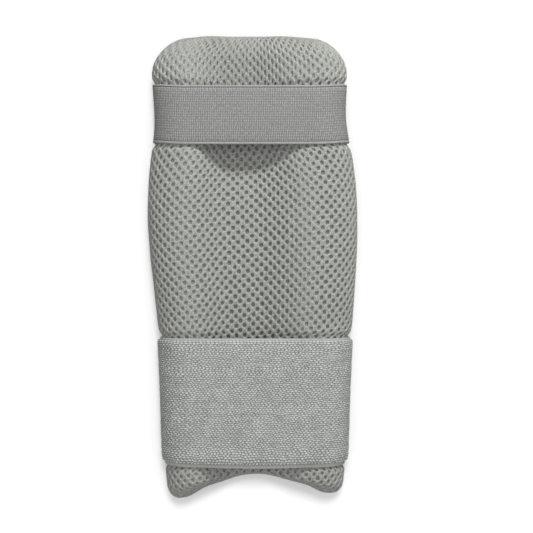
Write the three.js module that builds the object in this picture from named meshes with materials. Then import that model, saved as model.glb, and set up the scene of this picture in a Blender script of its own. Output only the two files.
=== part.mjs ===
// Cricket arm guard: a soft padded trough covered in spacer mesh, held on the forearm by two elastic bands.
// It lies on its outer face, with the trough and the bands up.
// Units are millimetres. X runs across the arm, Y along it towards the square end, and Z up from the surface.
import * as THREE from "three";

// Driving dimensions of the pad
const GUARD_LENGTH = 268;
const GUARD_WIDTH = 123;
const CREST_HEIGHT = 31;
const CREST_SPACING = 73;
const WIDEST_HEIGHT = 15.5;
const TROUGH_DEPTH = 14;
const TROUGH_FLOOR_WIDTH = 12;
const TROUGH_OFFSET = -6;
const BACK_FLAT_WIDTH = 46;
const UPPER_CORNER_RADIUS = 24;
const LOWER_CORNER_RADIUS = 7.5;
const UPPER_END_ROUNDING = 15;
const LOWER_END_ROUNDING = 8;
const UPPER_END_BOW = 1;
const LOWER_END_ARCH = 12;
const LOWER_END_SKEW = 3;

// Driving dimensions of the bands. Each one's inset is how far it starts from its end of the pad.
const UPPER_STRAP_WIDTH = 34;
const UPPER_STRAP_INSET = 30.5;
const UPPER_STRAP_THICKNESS = 1.3;
const UPPER_STRAP_DRIFT = 2.2;
const LOWER_STRAP_WIDTH = 73;
const LOWER_STRAP_INSET = 19.7;
const LOWER_STRAP_THICKNESS = 3.2;
const LOWER_STRAP_DRIFT = 0;
const LOWER_SELVEDGE_WIDTH = 2.4;
const LOWER_SELVEDGE_THICKNESS = 1;

// How the bands press into the padding, and the gap that is kept between band and pad
const STRAP_SQUEEZE = 1.5;
const STRAP_CLEARANCE = 0.35;
const SQUEEZE_MARGIN = 0.6;
const SQUEEZE_FADE = 3.4;
// Length over which the pad's rows come back from a band's drift
const DRIFT_REACH = 20;

// The free shape along the pad. along: -1 at the arched end to 1 at the square end, as a share of half the
// length. width, crest and depth: shares of GUARD_WIDTH, CREST_HEIGHT and TROUGH_DEPTH. lean: how far the
// middle wanders sideways, as a share of GUARD_WIDTH.
const ALONG_TABLE = [
  { along: -1.0, width: 0.822, crest: 0.88, depth: 0.7, lean: 0.012 },
  { along: -0.84, width: 0.855, crest: 0.95, depth: 0.8, lean: 0.012 },
  { along: -0.48, width: 0.884, crest: 0.99, depth: 0.86, lean: 0.012 },
  { along: -0.28, width: 0.91, crest: 1.0, depth: 0.8, lean: 0.012 },
  { along: -0.12, width: 0.95, crest: 1.0, depth: 0.72, lean: 0.009 },
  { along: 0.06, width: 0.988, crest: 1.0, depth: 0.68, lean: 0.004 },
  { along: 0.22, width: 1.0, crest: 0.995, depth: 0.7, lean: 0 },
  { along: 0.36, width: 0.983, crest: 0.985, depth: 0.8, lean: -0.002 },
  { along: 0.5, width: 0.942, crest: 0.975, depth: 0.95, lean: -0.005 },
  { along: 0.64, width: 0.908, crest: 0.97, depth: 1.0, lean: -0.011 },
  { along: 0.82, width: 0.924, crest: 0.93, depth: 0.84, lean: -0.015 },
  { along: 1.0, width: 0.92, crest: 0.84, depth: 0.34, lean: -0.014 },
];

// How the arched end is cut: the share of the end's half width that the arch spans, and its fullness.
const ARCH_SPAN = 0.92;
const ARCH_FULLNESS = 1.6;

// Facets: steps round one half of the section, and along the pad. The trough's floor takes what the outer
// face has more than the shoulder and the wall, so that both faces have the same number of steps.
const FLAT_STEPS = 3;
const UNDERSIDE_STEPS = 10;
const SHOULDER_STEPS = 6;
const WALL_STEPS = 6;
const SPAN_STEPS = 8;
const END_STEPS = 5;
const ROW_STEP = 7.5;
const BAND_ROW_STEP = 12;
const LEAST_ROW_GAP = 0.5;

const MESH_FABRIC = { color: 0x9ea098, roughness: 0.9, metalness: 0 };
const WOVEN_ELASTIC = { color: 0x969792, roughness: 0.75, metalness: 0 };
const LOOP_ELASTIC = { color: 0xa5a7a2, roughness: 0.95, metalness: 0 };

const HALF_LENGTH = GUARD_LENGTH / 2;
const OUTER_STEPS = FLAT_STEPS + UNDERSIDE_STEPS;
const FLOOR_STEPS = OUTER_STEPS - SHOULDER_STEPS - WALL_STEPS;
const RING_COUNT = 4 * OUTER_STEPS;

const upperStrap = {
  low: HALF_LENGTH - UPPER_STRAP_INSET - UPPER_STRAP_WIDTH,
  high: HALF_LENGTH - UPPER_STRAP_INSET,
  thickness: UPPER_STRAP_THICKNESS,
  drift: UPPER_STRAP_DRIFT,
  selvedgeWidth: 0,
  selvedgeThickness: UPPER_STRAP_THICKNESS,
};

const lowerStrap = {
  low: LOWER_STRAP_INSET - HALF_LENGTH,
  high: LOWER_STRAP_INSET + LOWER_STRAP_WIDTH - HALF_LENGTH,
  thickness: LOWER_STRAP_THICKNESS,
  drift: LOWER_STRAP_DRIFT,
  selvedgeWidth: LOWER_SELVEDGE_WIDTH,
  selvedgeThickness: LOWER_SELVEDGE_THICKNESS,
};

const straps = [upperStrap, lowerStrap];

// Where the padding is free again beyond the bands: the rows of the pad are straight between these two lines.
const LOWER_LINE = lowerStrap.low - SQUEEZE_MARGIN - SQUEEZE_FADE;
const UPPER_LINE = upperStrap.high + SQUEEZE_MARGIN + SQUEEZE_FADE;

function clamp01(value) {
  return Math.min(1, Math.max(0, value));
}

function smooth(share) {
  const s = clamp01(share);
  return s * s * (3 - 2 * s);
}

// Slope of a table's column at one row, from its neighbours.
function slopeAt(rows, key, index) {
  const before = rows[Math.max(0, index - 1)];
  const after = rows[Math.min(rows.length - 1, index + 1)];
  return (after[key] - before[key]) / (after.along - before.along);
}

// Smooth cubic curve through one column of the table.
function columnAt(rows, key, along) {
  const place = Math.min(rows[rows.length - 1].along, Math.max(rows[0].along, along));
  let i = 0;
  while (i < rows.length - 2 && place > rows[i + 1].along) i += 1;
  const length = rows[i + 1].along - rows[i].along;
  const t = (place - rows[i].along) / length;
  const start = slopeAt(rows, key, i) * length;
  const end = slopeAt(rows, key, i + 1) * length;
  const rise = rows[i + 1][key] - rows[i][key];
  return rows[i][key] + t * (start + t * (3 * rise - 2 * start - end + t * (start + end - 2 * rise)));
}

// 1 where a band lies on the pad, 0 away from it. down: 0 on the arm side, 1 on the outer face.
function underStrap(strap, y, down) {
  const own = y - strap.drift * down;
  const outside = Math.max(strap.low - SQUEEZE_MARGIN - own, own - strap.high - SQUEEZE_MARGIN, 0);
  return 1 - smooth(outside / SQUEEZE_FADE);
}

// How far a step round the section has come down from the crest to the widest point.
function downShare(onOuter, fromTip) {
  return onOuter ? 1 : 1 - smooth(fromTip / SHOULDER_STEPS);
}

// The sizes of the pad's section at one place along it, as a step that far down the side meets them.
function sectionAt(y, down) {
  const along = y / HALF_LENGTH;
  let squeeze = 0;
  let back = 0;
  for (const strap of straps) {
    const share = underStrap(strap, y, down);
    squeeze = Math.max(squeeze, STRAP_SQUEEZE * share);
    back = Math.max(back, (strap.thickness + STRAP_CLEARANCE) * share);
  }
  const freeCrest = CREST_HEIGHT * columnAt(ALONG_TABLE, "crest", along);
  return {
    half: (GUARD_WIDTH / 2) * columnAt(ALONG_TABLE, "width", along) - squeeze,
    crest: freeCrest - squeeze,
    floor: freeCrest - TROUGH_DEPTH * columnAt(ALONG_TABLE, "depth", along),
    middle: GUARD_WIDTH * columnAt(ALONG_TABLE, "lean", along),
    back,
  };
}

// Outer half of the section, step 0 at the middle of the flattened back, the last step at the widest point.
function outerPoint(section, side, step) {
  const flat = BACK_FLAT_WIDTH / 2;
  if (step <= FLAT_STEPS) {
    return [(side * flat * step) / FLAT_STEPS, section.back];
  }
  const turn = ((step - FLAT_STEPS) / UNDERSIDE_STEPS) * (Math.PI / 2);
  const across = flat + (section.half - flat) * Math.sin(turn);
  const up = section.back + (WIDEST_HEIGHT - section.back) * (1 - Math.cos(turn));
  return [side * across, up];
}

// Arm side of the section, step 0 at the widest point, over the crest, the last step mid-floor of the trough.
function innerPoint(section, side, step) {
  const crestX = CREST_SPACING / 2;
  if (step <= SHOULDER_STEPS) {
    const turn = (step / SHOULDER_STEPS) * (Math.PI / 2);
    const across = crestX + (section.half - crestX) * Math.cos(turn);
    return [side * across, WIDEST_HEIGHT + (section.crest - WIDEST_HEIGHT) * Math.sin(turn)];
  }
  const floorX = TROUGH_OFFSET + (side * TROUGH_FLOOR_WIDTH) / 2;
  const down = (step - SHOULDER_STEPS) / WALL_STEPS;
  if (down <= 1) {
    const across = side * crestX + (floorX - side * crestX) * down;
    return [across, section.crest + (section.floor - section.crest) * smooth(down)];
  }
  const inward = (down * WALL_STEPS - WALL_STEPS) / FLOOR_STEPS;
  return [floorX + (TROUGH_OFFSET - floorX) * inward, section.floor];
}

// A place round the section: which side of the arm it lies on, and its step from the widest point along the
// outer face and along the arm side. Both faces have the same number of steps, so each has a partner.
function ringPlace(index) {
  const side = index < RING_COUNT / 2 ? 1 : -1;
  const step = side > 0 ? index : RING_COUNT - index;
  if (step <= OUTER_STEPS) return { side, onOuter: true, fromTip: OUTER_STEPS - step };
  return { side, onOuter: false, fromTip: step - OUTER_STEPS };
}

// A point of the section whose two faces are drawn together towards the end seam. open: 1 for the full
// thickness, 0 at the seam. pull: share of the width that the rounded corner leaves.
function closedPoint(index, y, open, pull) {
  const place = ringPlace(index);
  const section = sectionAt(y, downShare(place.onOuter, place.fromTip));
  const outer = outerPoint(section, place.side, OUTER_STEPS - place.fromTip);
  const inner = innerPoint(section, place.side, place.fromTip);
  const own = place.onOuter ? outer : inner;
  const x = (outer[0] + inner[0]) / 2 + (open * (own[0] - outer[0] + own[0] - inner[0])) / 2;
  const z = (outer[1] + inner[1]) / 2 + (open * (own[1] - outer[1] + own[1] - inner[1])) / 2;
  return { x: section.middle + x * pull, z, half: section.half * pull, middle: section.middle };
}

// How far a point near an end is moved along the pad by the arch, the skew and the bow of the ends. The rows
// between an end and the nearest band close up evenly, and the rows beyond that stay straight.
function endShift(point, y) {
  const across = (point.x - point.middle) / point.half;
  const archShare = Math.cos(clamp01(Math.abs(across) / ARCH_SPAN) * (Math.PI / 2)) ** ARCH_FULLNESS;
  const lower = LOWER_END_ARCH * archShare + (LOWER_END_SKEW / 2) * across;
  const upper = UPPER_END_BOW * (1 - across * across);
  const towardsLower = clamp01((LOWER_LINE - y) / (LOWER_LINE + HALF_LENGTH));
  const towardsUpper = clamp01((y - UPPER_LINE) / (HALF_LENGTH - UPPER_LINE));
  return lower * towardsLower + upper * towardsUpper;
}

// Share of the width left by a corner of this radius, at a distance from the end.
function cornerPull(distance, radius) {
  const inside = 1 - clamp01(distance / radius);
  return 1 - ((radius * (1 - Math.sqrt(1 - inside * inside))) / GUARD_WIDTH) * 2;
}

// One row of the pad: where it lies, how far its faces are apart and how wide the corners leave it.
function padRow(y) {
  const lower = y + HALF_LENGTH;
  const upper = HALF_LENGTH - y;
  const lowerOpen = Math.sqrt(1 - (1 - clamp01(lower / LOWER_END_ROUNDING)) ** 2);
  const upperOpen = Math.sqrt(1 - (1 - clamp01(upper / UPPER_END_ROUNDING)) ** 2);
  const pull = cornerPull(lower, LOWER_CORNER_RADIUS) * cornerPull(upper, UPPER_CORNER_RADIUS);
  return { y, open: lowerOpen * upperOpen, pull };
}

// How far a step that far down the side follows the bands' drift along the pad.
function driftShift(y, down) {
  let shift = 0;
  for (const strap of straps) {
    const beyond = Math.max(strap.low - y, y - strap.high) - SQUEEZE_MARGIN - SQUEEZE_FADE;
    shift += strap.drift * down * (1 - smooth(beyond / DRIFT_REACH));
  }
  return shift;
}

function padPoint(index, row) {
  const place = ringPlace(index);
  const straight = closedPoint(index, row.y, row.open, row.pull);
  const drift = driftShift(row.y, downShare(place.onOuter, place.fromTip));
  const y = row.y + endShift(straight, row.y) + drift;
  const point = closedPoint(index, y, row.open, row.pull);
  return [point.x, y, point.z];
}

// Places between two rows, evenly spaced and no further apart than a step.
function fillRows(from, to, step) {
  const count = Math.max(1, Math.ceil((to - from) / step));
  return Array.from({ length: count }, (_, i) => from + ((to - from) * i) / count);
}

// Where the rows of the pad lie: close together round the ends and where a band's edge presses in.
function padRowPlaces() {
  const roundEnd = (radius) =>
    Array.from({ length: END_STEPS }, (_, i) => radius * (1 - Math.cos(((i + 1) / END_STEPS) * (Math.PI / 2))));
  const lowerEnd = roundEnd(LOWER_END_ROUNDING).map((distance) => distance - HALF_LENGTH);
  const upperEnd = roundEnd(UPPER_END_ROUNDING).map((distance) => HALF_LENGTH - distance);
  const breaks = [];
  for (const strap of straps) {
    const low = strap.low - SQUEEZE_MARGIN;
    const high = strap.high + SQUEEZE_MARGIN;
    breaks.push(low - SQUEEZE_FADE, low - SQUEEZE_FADE / 2, low, high, high + SQUEEZE_FADE / 2, high + SQUEEZE_FADE);
  }
  const first = lowerEnd[lowerEnd.length - 1];
  const last = upperEnd[upperEnd.length - 1];
  const inner = breaks.filter((y) => y > first + LEAST_ROW_GAP && y < last - LEAST_ROW_GAP).sort((a, b) => a - b);
  const marks = [first, ...inner, last];
  const middle = marks.slice(1).flatMap((mark, i) => fillRows(marks[i], mark, ROW_STEP));
  return [...lowerEnd.slice(0, -1), ...middle, ...upperEnd.reverse()];
}

function geometryFrom(points, triangles) {
  const geometry = new THREE.BufferGeometry();
  geometry.setAttribute("position", new THREE.Float32BufferAttribute(points.flat(), 3));
  geometry.setIndex(triangles.flat());
  geometry.computeVertexNormals();
  return geometry;
}

// The padding with its mesh cover: a tube of sections, closed along a seam at each end.
function padGeometry() {
  const rows = padRowPlaces().map(padRow);
  const points = [];
  const rings = [];
  for (const row of rows) {
    const start = points.length;
    for (let i = 0; i < RING_COUNT; i += 1) points.push(padPoint(i, row));
    rings.push(Array.from({ length: RING_COUNT }, (_, i) => start + i));
  }
  // Each vertex of a seam is shared by the two partners of the ring beside it.
  const seamRing = (y) => {
    const row = { ...padRow(y), open: 0 };
    const shared = new Map();
    return Array.from({ length: RING_COUNT }, (_, i) => {
      const place = ringPlace(i);
      const key = place.fromTip === OUTER_STEPS ? "middle" : place.side + "/" + place.fromTip;
      if (!shared.has(key)) {
        shared.set(key, points.length);
        points.push(padPoint(i, row));
      }
      return shared.get(key);
    });
  };
  const all = [seamRing(-HALF_LENGTH), ...rings, seamRing(HALF_LENGTH)];
  return geometryFrom(points, ringTriangles(all, false));
}

// Triangles between neighbouring rings, and between the last and the first where they close on themselves.
function ringTriangles(rings, closed) {
  const triangles = [];
  const last = closed ? rings.length : rings.length - 1;
  for (let j = 0; j < last; j += 1) {
    const here = rings[j];
    const next = rings[(j + 1) % rings.length];
    for (let i = 0; i < here.length; i += 1) {
      const k = (i + 1) % here.length;
      if (here[i] !== here[k]) triangles.push([here[i], next[i], here[k]]);
      if (next[i] !== next[k]) triangles.push([here[k], next[i], next[k]]);
    }
  }
  return triangles;
}

// The path of a band round the pad, at one place across the band: along the pad's outer face, and straight
// from crest to crest. Down the sides it drifts along the pad.
function bandPath(strap, y) {
  const pathPoint = (side, step) => {
    const onOuter = step <= OUTER_STEPS;
    const down = downShare(onOuter, step - OUTER_STEPS);
    const place = y + strap.drift * down;
    const section = sectionAt(place, down);
    const [x, z] = onOuter ? outerPoint(section, side, step) : innerPoint(section, side, step - OUTER_STEPS);
    return [x + section.middle, place, z];
  };
  const steps = Array.from({ length: OUTER_STEPS + SHOULDER_STEPS + 1 }, (_, i) => i);
  const right = steps.map((step) => pathPoint(1, step));
  const left = steps.slice(1).reverse().map((step) => pathPoint(-1, step));
  const start = right[right.length - 1];
  const end = left[0];
  const span = Array.from({ length: SPAN_STEPS - 1 }, (_, i) => (i + 1) / SPAN_STEPS).map((share) =>
    start.map((value, axis) => value + (end[axis] - value) * share));
  return [...right, ...span, ...left];
}

// The same path moved outwards by a distance, square to itself.
function offsetPath(path, distance) {
  return path.map(([x, y, z], i) => {
    const before = path[(i + path.length - 1) % path.length];
    const after = path[(i + 1) % path.length];
    const runX = after[0] - before[0];
    const runZ = after[2] - before[2];
    const run = Math.hypot(runX, runZ);
    return [x + (distance * runZ) / run, y, z - (distance * runX) / run];
  });
}

// An elastic band as a closed ring: its cut face is swept round the pad.
function bandGeometry(strap) {
  const ramp = strap.selvedgeWidth;
  const inner = [...fillRows(strap.low, strap.high, BAND_ROW_STEP), strap.high];
  const face = inner.map((y) => ({ y, lift: 0 }));
  const outerPlaces = ramp > 0
    ? [strap.low, strap.low + ramp, ...fillRows(strap.low + 2 * ramp, strap.high - 2 * ramp, BAND_ROW_STEP),
      strap.high - 2 * ramp, strap.high - ramp, strap.high]
    : inner;
  for (const y of [...outerPlaces].reverse()) {
    const fromEdge = Math.min(y - strap.low, strap.high - y);
    const full = ramp > 0 ? smooth((fromEdge - ramp) / ramp) : 1;
    face.push({ y, lift: strap.selvedgeThickness + (strap.thickness - strap.selvedgeThickness) * full });
  }
  const points = [];
  const rings = face.map(({ y, lift }) => {
    const path = offsetPath(bandPath(strap, y), STRAP_CLEARANCE + lift);
    const start = points.length;
    points.push(...path);
    return path.map((_, i) => start + i);
  });
  return geometryFrom(points, ringTriangles(rings.reverse(), true));
}

function piece(name, geometry, look) {
  const mesh = new THREE.Mesh(geometry, new THREE.MeshStandardMaterial(look));
  mesh.name = name;
  return mesh;
}

const guard = new THREE.Group();
guard.add(piece("mesh_pad", padGeometry(), MESH_FABRIC));
guard.add(piece("upper_strap", bandGeometry(upperStrap), WOVEN_ELASTIC));
guard.add(piece("lower_strap", bandGeometry(lowerStrap), LOOP_ELASTIC));

// The origin is on the surface that the guard lies on, under the middle of its outline.
const outline = new THREE.Box3().setFromObject(guard);
const middle = outline.getCenter(new THREE.Vector3());
guard.position.set(-middle.x, -middle.y, -outline.min.z);

export default guard;
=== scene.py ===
"""Looks of a cricket arm guard: a padded trough in spacer mesh and two elastic bands, lying open side up."""

import math
from typing import NamedTuple

import bpy
import numpy as np
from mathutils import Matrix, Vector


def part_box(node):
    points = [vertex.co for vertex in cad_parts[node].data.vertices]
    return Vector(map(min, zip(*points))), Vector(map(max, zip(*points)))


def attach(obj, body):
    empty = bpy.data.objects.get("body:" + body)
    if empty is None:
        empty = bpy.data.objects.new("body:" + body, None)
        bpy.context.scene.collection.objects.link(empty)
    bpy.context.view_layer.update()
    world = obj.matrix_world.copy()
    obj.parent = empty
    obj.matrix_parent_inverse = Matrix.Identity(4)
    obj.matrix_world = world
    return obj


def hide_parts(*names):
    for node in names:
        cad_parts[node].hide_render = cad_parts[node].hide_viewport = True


bl_info = {
    "name": "Cricket arm guard",
    "version": (1, 0, 0),
    "blender": (4, 5, 0),
    "location": "3D View > Sidebar > Arm guard",
    "description": "Builds the knitted cover, the two elastic bands and the studio of a cricket arm guard",
    "category": "Add Mesh",
}

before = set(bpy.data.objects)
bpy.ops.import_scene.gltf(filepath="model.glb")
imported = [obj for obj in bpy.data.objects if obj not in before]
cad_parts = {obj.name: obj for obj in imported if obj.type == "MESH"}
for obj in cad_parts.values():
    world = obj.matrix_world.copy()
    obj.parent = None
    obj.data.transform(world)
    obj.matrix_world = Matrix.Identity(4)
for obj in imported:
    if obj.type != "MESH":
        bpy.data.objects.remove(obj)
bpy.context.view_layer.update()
PAD_LOW, PAD_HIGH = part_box("mesh_pad")
UPPER_LOW, UPPER_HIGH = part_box("upper_strap")
LOWER_LOW, LOWER_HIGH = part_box("lower_strap")

# Sizes of the pad, in metres. Those of the whole come from the parts in model.glb.
GUARD_WIDTH = PAD_HIGH[0] - PAD_LOW[0]
CREST_HEIGHT = PAD_HIGH[2] - PAD_LOW[2]
CREST_SPACING = 0.073
WIDEST_HEIGHT = CREST_HEIGHT / 2
TROUGH_DEPTH = 0.014
TROUGH_FLOOR_WIDTH = 0.012
TROUGH_OFFSET = -0.006
BACK_FLAT_WIDTH = 0.046
UPPER_CORNER_RADIUS = 0.024
LOWER_CORNER_RADIUS = 0.0075
UPPER_END_ROUNDING = 0.015
LOWER_END_ROUNDING = 0.008
UPPER_END_BOW = 0.001
LOWER_END_ARCH = 0.012
LOWER_END_SKEW = 0.003
ARCH_SPAN = 0.92
ARCH_FULLNESS = 1.6

# Soft changes that the solid doesn't have: lifted flanks at the arch and dropped corners at the square end
ARCH_FLANK_LIFT = 0.0024
ARCH_FLANK_PLACE = 0.66
ARCH_FLANK_REACH = 0.2
UPPER_CORNER_DROP = 0.0011
UPPER_CORNER_START = 0.45
UPPER_CORNER_REACH = 0.45

# Half of the length without the bow and the skew, and the middle of that length
HALF_LENGTH = (PAD_HIGH[1] - PAD_LOW[1] - UPPER_END_BOW - LOWER_END_SKEW / 2) / 2
MIDDLE_Y = PAD_LOW[1] + LOWER_END_SKEW / 2 + HALF_LENGTH

# How the bands press in, and the gap between band and pad
STRAP_SQUEEZE = 0.0015
STRAP_CLEARANCE = 0.00035
SQUEEZE_MARGIN = 0.0006
SQUEEZE_FADE = 0.0034
DRIFT_REACH = 0.020

# The free shape along the guard: place, width, crest height, trough depth and wander, all as shares
ALONG_TABLE = np.array([
    (-1.0, 0.822, 0.88, 0.7, 0.012),
    (-0.84, 0.855, 0.95, 0.8, 0.012),
    (-0.48, 0.884, 0.99, 0.86, 0.012),
    (-0.28, 0.91, 1.0, 0.8, 0.012),
    (-0.12, 0.95, 1.0, 0.72, 0.009),
    (0.06, 0.988, 1.0, 0.68, 0.004),
    (0.22, 1.0, 0.995, 0.7, 0.0),
    (0.36, 0.983, 0.985, 0.8, -0.002),
    (0.5, 0.942, 0.975, 0.95, -0.005),
    (0.64, 0.908, 0.97, 1.0, -0.011),
    (0.82, 0.924, 0.93, 0.84, -0.015),
    (1.0, 0.92, 0.84, 0.34, -0.014),
])
WIDTH, CREST, DEPTH, LEAN = 1, 2, 3, 4

# The widest point round the section, then the shares of a face's way where back, shoulder and wall end
WIDEST_PLACE = 0.25
FLAT_SHARE = 3 / 13
SHOULDER_SHARE = 6 / 13
WALL_SHARE = 12 / 13

# Samples of the surface that the cover is laid on, the step of its rows, and their reach as a share
ROUND_SAMPLES = 416
END_SAMPLES = 24
LENGTH_SAMPLES = 260
CHART_STEP = 0.0006
CHART_REACH = 0.6


class Band(NamedTuple):
    """An elastic band: its edges along the guard, its thickness, and how far it drifts on its way down."""

    low: float
    high: float
    thickness: float
    drift: float


UPPER_DRIFT = 0.0022
UPPER_BAND = Band(UPPER_LOW[1], UPPER_HIGH[1] - UPPER_DRIFT, 0.0013, UPPER_DRIFT)
LOWER_BAND = Band(LOWER_LOW[1], LOWER_HIGH[1], 0.0032, 0.0)
BANDS = (UPPER_BAND, LOWER_BAND)
LOWER_LINE = LOWER_BAND.low - SQUEEZE_MARGIN - SQUEEZE_FADE
UPPER_LINE = UPPER_BAND.high + SQUEEZE_MARGIN + SQUEEZE_FADE


def smooth(share):
    """Eases from 0 to 1: s squared times three less two s."""
    s = np.clip(share, 0.0, 1.0)
    return s * s * (3.0 - 2.0 * s)


def along_curve(column, along):
    """A smooth cubic through one column of the table, whose slope at a row is that of its neighbours."""
    places = ALONG_TABLE[:, 0]
    values = ALONG_TABLE[:, column]
    before = np.concatenate([[0], np.arange(len(places) - 1)])
    after = np.concatenate([np.arange(1, len(places)), [len(places) - 1]])
    slopes = (values[after] - values[before]) / (places[after] - places[before])
    place = np.clip(along, places[0], places[-1])
    i = np.clip(np.searchsorted(places, place, side="right") - 1, 0, len(places) - 2)
    length = places[i + 1] - places[i]
    t = (place - places[i]) / length
    start = slopes[i] * length
    end = slopes[i + 1] * length
    rise = values[i + 1] - values[i]
    return values[i] + t * (start + t * (3 * rise - 2 * start - end + t * (start + end - 2 * rise)))


def under_band(band, y, down):
    """1 where a band lies on the pad and 0 away from it, eased over the width of its pressed edge."""
    own = y - band.drift * down
    outside = np.maximum(np.maximum(band.low - SQUEEZE_MARGIN - own, own - band.high - SQUEEZE_MARGIN), 0.0)
    return 1.0 - smooth(outside / SQUEEZE_FADE)


def section_sizes(y, down):
    """Half width, crest, trough floor, middle and lift of the back at a place along the guard."""
    along = (y - MIDDLE_Y) / HALF_LENGTH
    squeeze = np.zeros_like(along * down)
    back = np.zeros_like(squeeze)
    for band in BANDS:
        share = under_band(band, y, down)
        squeeze = np.maximum(squeeze, STRAP_SQUEEZE * share)
        back = np.maximum(back, (band.thickness + STRAP_CLEARANCE) * share)
    free_crest = CREST_HEIGHT * along_curve(CREST, along)
    half = GUARD_WIDTH / 2 * along_curve(WIDTH, along) - squeeze
    floor = free_crest - TROUGH_DEPTH * along_curve(DEPTH, along)
    middle = GUARD_WIDTH * along_curve(LEAN, along)
    # Adding zeros gives the floor and the middle the shape of the others.
    zeros = np.zeros_like(squeeze)
    return half, free_crest - squeeze, floor + zeros, middle + zeros, back


def outer_curve(sizes, side, way):
    """The resting face, way 0 at the back's middle and 1 at the widest point: flat, then a quarter
    ellipse."""
    half, _, _, _, back = sizes
    flat = BACK_FLAT_WIDTH / 2
    turn = np.clip((way - FLAT_SHARE) / (1 - FLAT_SHARE), 0.0, 1.0) * (math.pi / 2)
    across = np.where(way < FLAT_SHARE, flat * way / FLAT_SHARE, flat + (half - flat) * np.sin(turn))
    return side * across, back + (WIDEST_HEIGHT - back) * (1 - np.cos(turn))


def inner_curve(sizes, side, way):
    """The arm side, way 0 at the widest point and 1 in the trough's middle: a quarter ellipse over the
    shoulder, an eased wall and a flat floor."""
    half, crest, floor, _, _ = sizes
    crest_x = CREST_SPACING / 2
    turn = np.clip(way / SHOULDER_SHARE, 0.0, 1.0) * (math.pi / 2)
    wall = np.clip((way - SHOULDER_SHARE) / (WALL_SHARE - SHOULDER_SHARE), 0.0, 1.0)
    inward = np.clip((way - WALL_SHARE) / (1 - WALL_SHARE), 0.0, 1.0)
    floor_x = TROUGH_OFFSET + side * TROUGH_FLOOR_WIDTH / 2
    on_shoulder = side * (crest_x + (half - crest_x) * np.cos(turn))
    on_wall = side * crest_x + (floor_x - side * crest_x) * wall
    on_floor = floor_x + (TROUGH_OFFSET - floor_x) * inward
    x = np.where(way < SHOULDER_SHARE, on_shoulder, np.where(way < WALL_SHARE, on_wall, on_floor))
    over = WIDEST_HEIGHT + (crest - WIDEST_HEIGHT) * np.sin(turn)
    z = np.where(way < SHOULDER_SHARE, over, crest + (floor - crest) * smooth(wall))
    return x, z


def round_place(u):
    """Side of the arm, whether on the resting face, and share of the face away from the widest point, for a
    place u round the section: 0 is the back's middle, 0.25 and 0.75 are the widest points, and 0.5 is the
    trough's middle."""
    s = np.minimum(u, 1.0 - u)
    return np.where(u < 0.5, 1.0, -1.0), s <= WIDEST_PLACE, np.abs(s - WIDEST_PLACE) / WIDEST_PLACE


def down_share(on_outer, from_tip):
    """0 at the crest, 1 on the resting face, eased over the shoulder."""
    return np.where(on_outer, 1.0, 1.0 - smooth(from_tip / SHOULDER_SHARE))


def closed_point(u, y, openness, pull):
    """A point of the section whose two faces are drawn together by openness and whose width is pulled in."""
    side, on_outer, from_tip = round_place(u)
    sizes = section_sizes(y, down_share(on_outer, from_tip))
    outer_x, outer_z = outer_curve(sizes, side, 1.0 - from_tip)
    inner_x, inner_z = inner_curve(sizes, side, from_tip)
    own_x = np.where(on_outer, outer_x, inner_x)
    own_z = np.where(on_outer, outer_z, inner_z)
    x = (outer_x + inner_x) / 2 + openness * (2 * own_x - outer_x - inner_x) / 2
    z = (outer_z + inner_z) / 2 + openness * (2 * own_z - outer_z - inner_z) / 2
    return sizes[3] + x * pull, z, sizes[0] * pull, sizes[3]


def end_shift(x, half, middle, y):
    """How far a point near an end moves along the guard. At the arched end it is the arch, a cosine to a
    power, with a bell on either flank, and the skew; at the square end the bow, less the dropped corners."""
    across = (x - middle) / half
    arch = np.cos(np.clip(np.abs(across) / ARCH_SPAN, 0.0, 1.0) * (math.pi / 2)) ** ARCH_FULLNESS
    flank = ARCH_FLANK_LIFT * np.exp(-((np.abs(across) - ARCH_FLANK_PLACE) / ARCH_FLANK_REACH) ** 2)
    lower = LOWER_END_ARCH * arch + flank + LOWER_END_SKEW / 2 * across
    corner = smooth((np.abs(across) - UPPER_CORNER_START) / UPPER_CORNER_REACH)
    upper = UPPER_END_BOW * (1.0 - across * across) - UPPER_CORNER_DROP * corner
    low_end = MIDDLE_Y - HALF_LENGTH
    high_end = MIDDLE_Y + HALF_LENGTH
    to_lower = np.clip((LOWER_LINE - y) / (LOWER_LINE - low_end), 0.0, 1.0)
    to_upper = np.clip((y - UPPER_LINE) / (high_end - UPPER_LINE), 0.0, 1.0)
    return lower * to_lower + upper * to_upper


def drift_shift(y, down):
    """How far the pad's rows follow the bands' drift on their way down the side."""
    shift = 0.0
    for band in BANDS:
        beyond = np.maximum(band.low - y, y - band.high) - SQUEEZE_MARGIN - SQUEEZE_FADE
        shift = shift + band.drift * down * (1.0 - smooth(beyond / DRIFT_REACH))
    return shift


def corner_pull(distance, radius):
    """Share of the width that a round corner leaves at a distance from the end."""
    inside = 1.0 - np.clip(distance / radius, 0.0, 1.0)
    return 1.0 - 2.0 * radius * (1.0 - np.sqrt(1.0 - inside * inside)) / GUARD_WIDTH


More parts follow.
